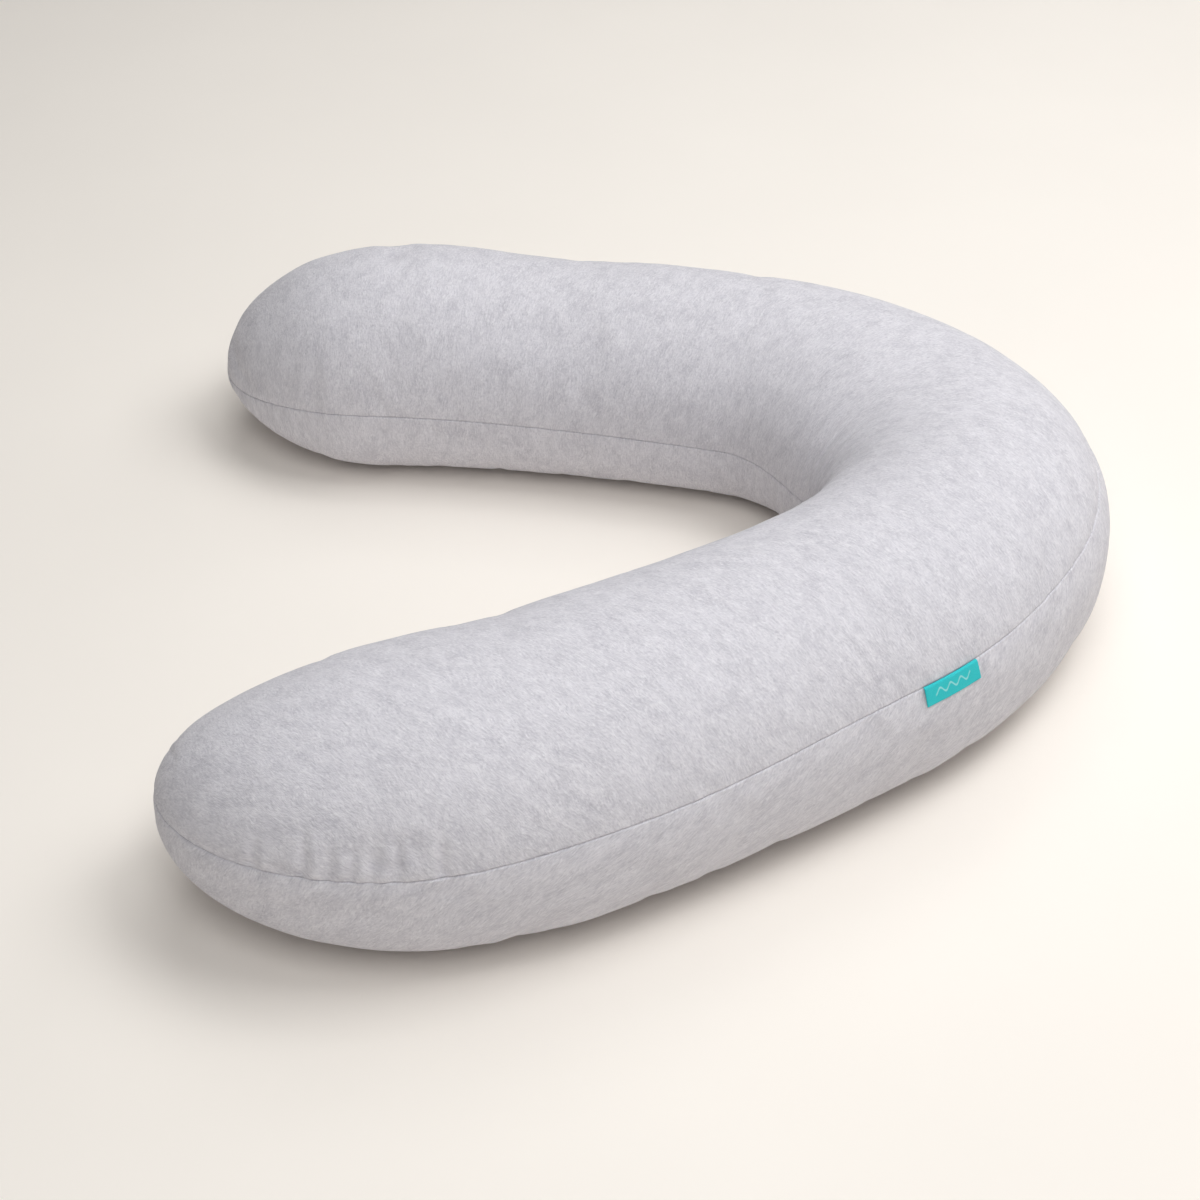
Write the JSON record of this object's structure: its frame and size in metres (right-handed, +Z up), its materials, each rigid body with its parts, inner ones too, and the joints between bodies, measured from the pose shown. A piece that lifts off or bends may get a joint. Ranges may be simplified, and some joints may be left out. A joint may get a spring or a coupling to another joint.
{
  "type": "nursing pillow",
  "caption": "Long stuffed U-shaped support pillow in a soft jersey cover with a zipped outer seam, resting flat on its underside.",
  "frame": {"origin": "centre of the plan box on the floor plane that the pillow lies on", "axes": "+Z up; +X towards the outside of the bend, so both arms point to -X; +Y across the U, from the longer near arm to the far arm that carries the zip"},
  "size_m": [0.8547, 0.9115, 0.209],
  "materials": {
    "cover_jersey": "matt brushed single jersey, light grey melange",
    "seam_thread": "spun polyester thread",
    "label_weave": "plain damask-woven label, turquoise, blank",
    "care_label_satin": "white satin ribbon, blank",
    "zip_tape": "woven polyester tape",
    "zip_coil": "polyamide monofilament, satin",
    "zip_stop_metal": "bare, satin",
    "zip_slider_enamel": "grey enamel on zinc, satin",
    "liner_cotton": "natural plain-weave cotton",
    "filling_beads": "expanded bead fill"
  },
  "bodies": {
    "pillow": {"cover_top_panel": "cover_jersey", "cover_bottom_panel": "cover_jersey", "cover_seam_thread": "seam_thread", "side_label": "label_weave", "care_label": "care_label_satin", "zip_tape_upper": "zip_tape", "zip_tape_lower": "zip_tape", "zip_coil_upper": "zip_coil", "zip_coil_lower": "zip_coil", "zip_stitching_upper": "seam_thread", "zip_stitching_lower": "seam_thread", "zip_top_stops": "zip_stop_metal", "zip_bottom_stop": "zip_stop_metal", "liner_top_panel": "liner_cotton", "liner_bottom_panel": "liner_cotton", "liner_closing_stitches": "seam_thread", "filling": "filling_beads"},
    "zip_slider": {"zip_slider": "zip_slider_enamel"},
    "zip_pull": {"zip_pull_tab": "zip_slider_enamel"}
  },
  "joints": [
    {"name": "zip_travel", "type": "hinge", "parent": "pillow", "child": "zip_slider", "pos_m": [-0.31515, -1.30438, 0], "axis": [0, 0, 1], "range_deg": [0, 10.45], "deforming": ["zip_coil_upper", "zip_coil_lower"]},
    {"name": "zip_pull_flip", "type": "hinge", "parent": "zip_slider", "child": "zip_pull", "pos_m": [0.08073, 0.40057, 0.13739], "axis": [0.1123, 0.4837, -0.868], "range_deg": [0, 175]}
  ]
}
